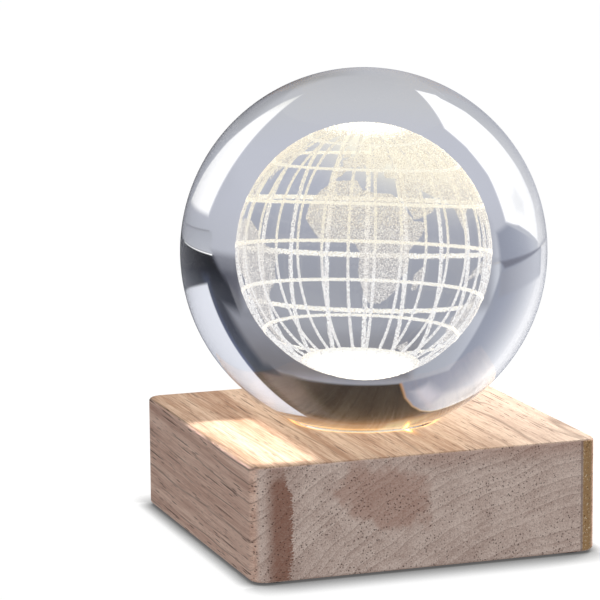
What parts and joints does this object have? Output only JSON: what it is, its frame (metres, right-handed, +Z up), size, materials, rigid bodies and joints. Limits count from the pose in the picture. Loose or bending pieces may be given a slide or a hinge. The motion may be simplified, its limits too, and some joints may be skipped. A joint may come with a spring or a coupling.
{
  "type": "light-up globe award",
  "caption": "Light-up award: a clear glass ball with an engraved globe rests in a lit seat on a square wooden base with cells, an underside door and a slide switch.",
  "frame": {"origin": "centre of the underside, on the plane of the feet, straight below the ball's centre", "axes": "+Z up through the ball, -Y out of the front face, +X to the right seen from the front"},
  "size_m": [0.08, 0.08, 0.1019],
  "materials": {
    "wood": "fine sanded, clear matt oil",
    "crystal": "polished clear glass",
    "engraving": "frosted laser marks, lit warm white from below",
    "clear_plastic": "clear, lightly frosted",
    "white_plastic": "satin moulded",
    "black_plastic": "fine moulded grain",
    "switch_plastic": "smooth moulded",
    "board": "white solder mask",
    "led": "warm white lamp, glossy lens",
    "resistor": "matt",
    "cell_jacket": "plain printed film",
    "nickel_steel": "nickel plated",
    "zinc_steel": "zinc plated",
    "foot_rubber": "matt",
    "red_pvc": "soft sleeve",
    "black_pvc": "soft sleeve"
  },
  "bodies": {
    "base": {"wood_base": "wood", "light_window": "clear_plastic", "reflector_ring": "white_plastic", "led_board": "board", "led_1": "led", "led_2": "led", "led_3": "led", "led_4": "led", "led_5": "led", "led_6": "led", "resistor_1": "resistor", "resistor_2": "resistor", "board_screw_1": "zinc_steel", "board_screw_2": "zinc_steel", "board_screw_3": "zinc_steel", "cell_tray": "white_plastic", "tray_screw_1": "zinc_steel", "tray_screw_2": "zinc_steel", "cell_1": "cell_jacket", "cell_2": "cell_jacket", "cell_3": "cell_jacket", "cell_spring_1": "nickel_steel", "cell_spring_2": "nickel_steel", "cell_spring_3": "nickel_steel", "contact_link_1": "nickel_steel", "contact_link_2": "nickel_steel", "contact_positive": "nickel_steel", "contact_negative": "nickel_steel", "bottom_cover": "black_plastic", "cover_screw_1": "zinc_steel", "cover_screw_2": "zinc_steel", "cover_screw_3": "zinc_steel", "cover_screw_4": "zinc_steel", "switch_body": "switch_plastic", "switch_screw_1": "zinc_steel", "switch_screw_2": "zinc_steel", "foot_pad_1": "foot_rubber", "foot_pad_2": "foot_rubber", "foot_pad_3": "foot_rubber", "foot_pad_4": "foot_rubber", "lead_red": "red_pvc", "lead_black": "black_pvc", "lead_switch": "red_pvc"},
    "ball": {"glass_ball": "crystal", "engraved_globe": "engraving"},
    "door": {"battery_door": "black_plastic"},
    "slider": {"switch_slider": "switch_plastic"}
  },
  "joints": [
    {"name": "ball_lift", "type": "slide", "parent": "base", "child": "ball", "axis": [0, 0, 1], "range_m": [0, 0.03]},
    {"name": "door_hinge", "type": "hinge", "parent": "base", "child": "door", "pos_m": [-0.0253, -0.004, 0.0026], "axis": [0, 1, 0], "range_deg": [0, 90]},
    {"name": "switch_slide", "type": "slide", "parent": "base", "child": "slider", "axis": [-1, 0, 0], "range_m": [0, 0.0032]}
  ]
}
